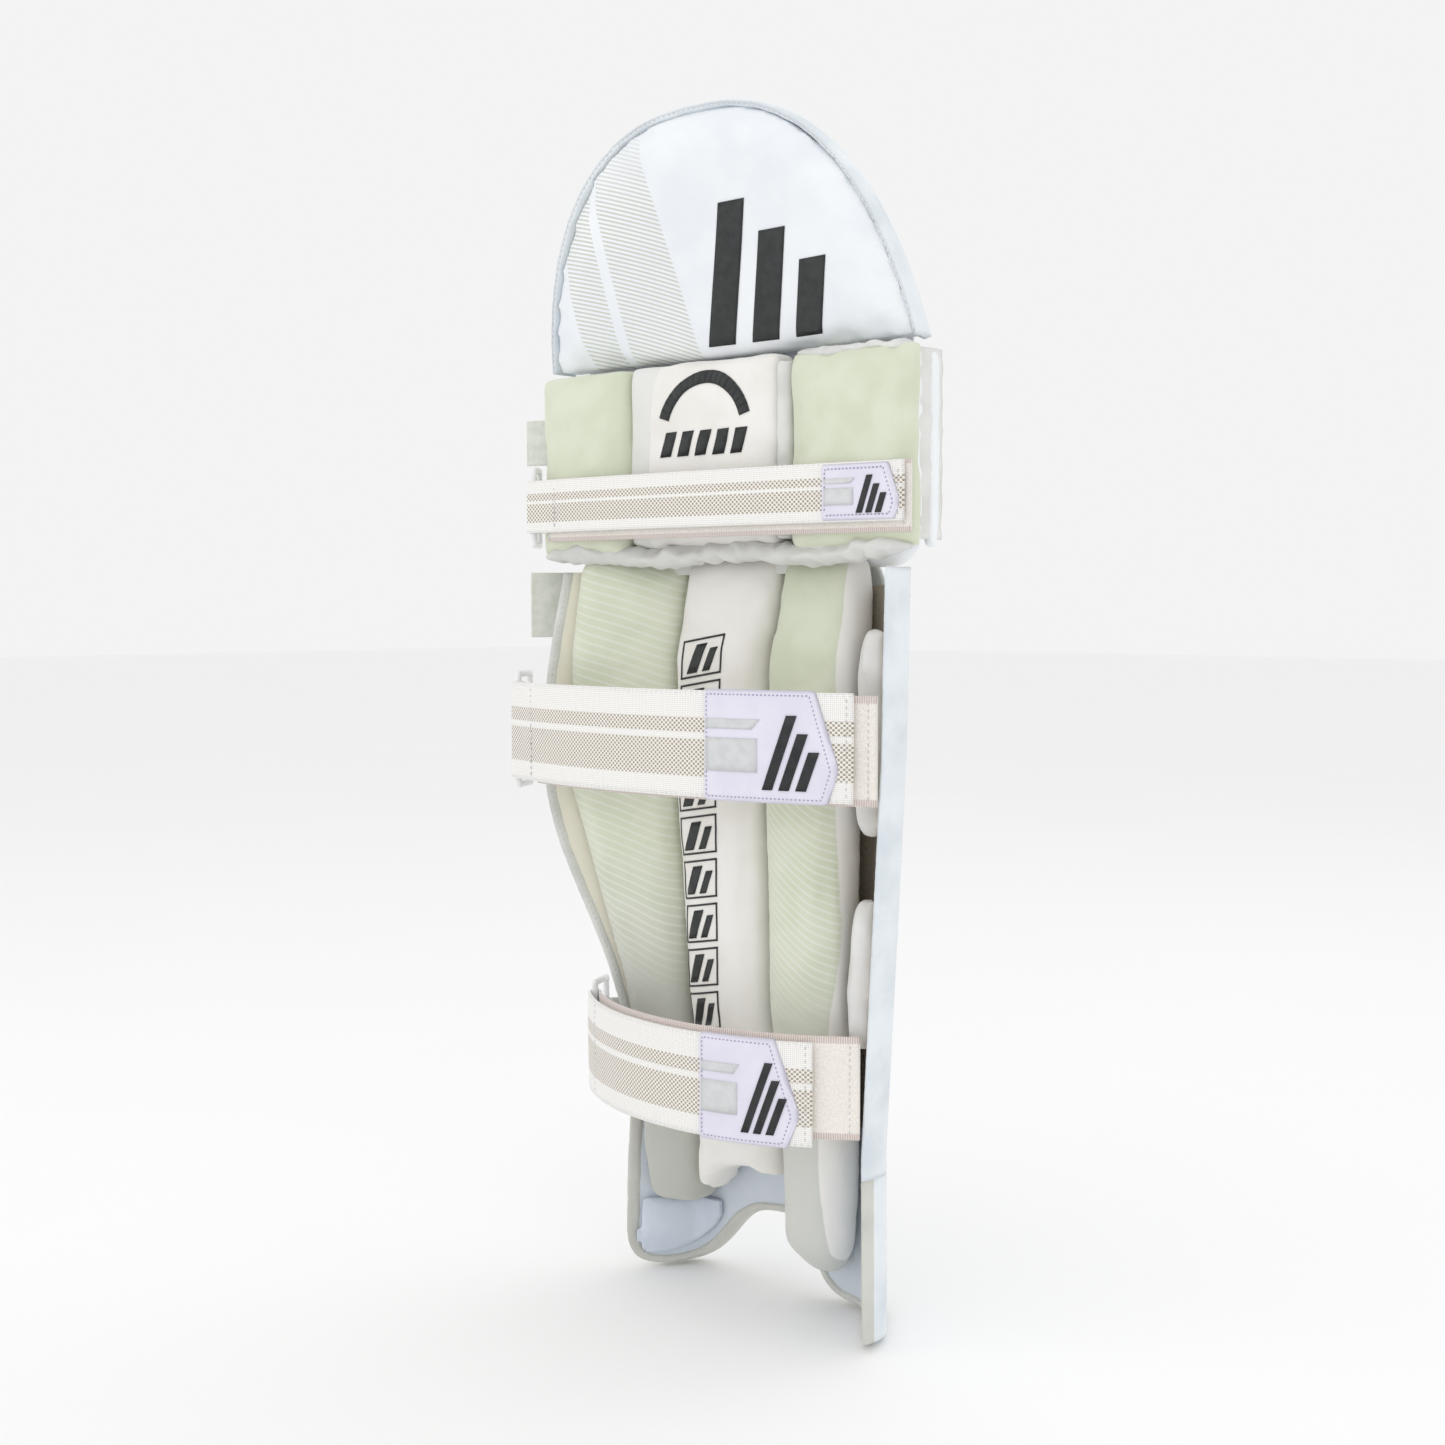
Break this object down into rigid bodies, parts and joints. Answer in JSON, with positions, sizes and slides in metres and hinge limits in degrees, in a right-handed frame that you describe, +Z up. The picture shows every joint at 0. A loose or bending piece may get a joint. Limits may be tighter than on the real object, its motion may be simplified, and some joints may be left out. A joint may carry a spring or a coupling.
{
  "type": "cricket batting leg pad",
  "caption": "Padded batting leg guard with a ribbed shin shell, knee rolls, hinged top flap, inner bolsters and ring-and-hook closing straps.",
  "frame": {"origin": "in the leg channel, level with the lowest edge of the ears, midway between the two wings at the calf", "axes": "+Z up along the leg, +Y out through the struck face, +X to the right seen from the leg side"},
  "size_m": [0.31, 0.1287, 0.694],
  "materials": {
    "cover_white": "smooth coated cloth",
    "foam": "closed-cell foam",
    "lining": "brushed lining",
    "cane": "split cane",
    "binding": "coated tape",
    "rib_cover": "smooth coated cloth",
    "cushion_green": "printed mesh cloth",
    "cushion_cream": "smooth coated cloth",
    "webbing": "loop webbing",
    "elastic": "striped woven elastic",
    "badge": "stitched patch",
    "hook": "hook tape",
    "ring": "moulded"
  },
  "bodies": {
    "shin": {"shin_face": "cover_white", "shin_foam_core": "foam", "shin_lining": "lining", "shin_canes": "cane", "wing_binding": "binding", "ear_binding": "binding", "face_ribs": "rib_cover", "bolster_left": "cushion_green", "bolster_centre": "cushion_cream", "bolster_right": "cushion_green", "ear_pad_left": "cushion_cream", "side_cushion_upper": "cushion_cream", "side_cushion_lower": "cushion_cream", "knee_gusset": "lining", "calf_anchor": "webbing", "ankle_anchor": "webbing", "calf_base_band": "webbing", "ankle_base_band": "webbing", "shin_tab": "webbing"},
    "knee": {"knee_backing": "cover_white", "knee_roll_lower": "rib_cover", "knee_roll_middle": "rib_cover", "knee_roll_upper": "rib_cover", "knee_side_left": "rib_cover", "knee_side_right": "rib_cover", "knee_cushion_left": "cushion_green", "knee_cushion_centre": "cushion_cream", "knee_cushion_right": "cushion_green", "knee_piping": "cushion_cream", "knee_anchor": "webbing", "knee_base_band": "webbing", "knee_tab": "webbing"},
    "top_flap": {"flap_back_cover": "cover_white", "flap_foam_core": "foam", "flap_front_cover": "cover_white", "flap_binding": "binding"},
    "knee_ring_body": {"knee_ring": "ring"},
    "knee_strap_body": {"knee_strap": "elastic", "knee_badge": "badge", "knee_hook": "hook"},
    "calf_ring_body": {"calf_ring": "ring"},
    "calf_strap_body": {"calf_strap": "elastic", "calf_badge": "badge", "calf_hook": "hook"},
    "ankle_ring_body": {"ankle_ring": "ring"},
    "ankle_strap_body": {"ankle_strap": "elastic", "ankle_badge": "badge", "ankle_hook": "hook"}
  },
  "joints": [
    {"name": "knee_flex", "type": "hinge", "parent": "shin", "child": "knee", "pos_m": [0, 0.03, 0.436], "axis": [1, 0, 0], "range_deg": [-18, 4], "stiffness_Nm_per_rad": 8},
    {"name": "top_flap_flex", "type": "hinge", "parent": "knee", "child": "top_flap", "pos_m": [0, 0.019, 0.555], "axis": [1, 0, 0], "range_deg": [-35, 5], "stiffness_Nm_per_rad": 2.5},
    {"name": "knee_ring_swivel", "type": "hinge", "parent": "knee", "child": "knee_ring_body", "pos_m": [-0.1505, -0.0038, 0.474], "axis": [0, 0, -1], "range_deg": [0, 45]},
    {"name": "knee_strap_open", "type": "hinge", "parent": "knee_ring_body", "child": "knee_strap_body", "pos_m": [-0.1417, -0.01633, 0.474], "axis": [0, 0, -1], "range_deg": [0, 110]},
    {"name": "calf_ring_swivel", "type": "hinge", "parent": "shin", "child": "calf_ring_body", "pos_m": [-0.14526, -0.0173, 0.338], "axis": [0, 0, -1], "range_deg": [0, 45]},
    {"name": "calf_strap_open", "type": "hinge", "parent": "calf_ring_body", "child": "calf_strap_body", "pos_m": [-0.1375, -0.03388, 0.338], "axis": [0, 0, -1], "range_deg": [0, 110]},
    {"name": "ankle_ring_swivel", "type": "hinge", "parent": "shin", "child": "ankle_ring_body", "pos_m": [-0.11086, 0.01426, 0.148], "axis": [0, 0, -1], "range_deg": [0, 45]},
    {"name": "ankle_strap_open", "type": "hinge", "parent": "ankle_ring_body", "child": "ankle_strap_body", "pos_m": [-0.103, -0.00313, 0.148], "axis": [0, 0, -1], "range_deg": [0, 110]}
  ]
}
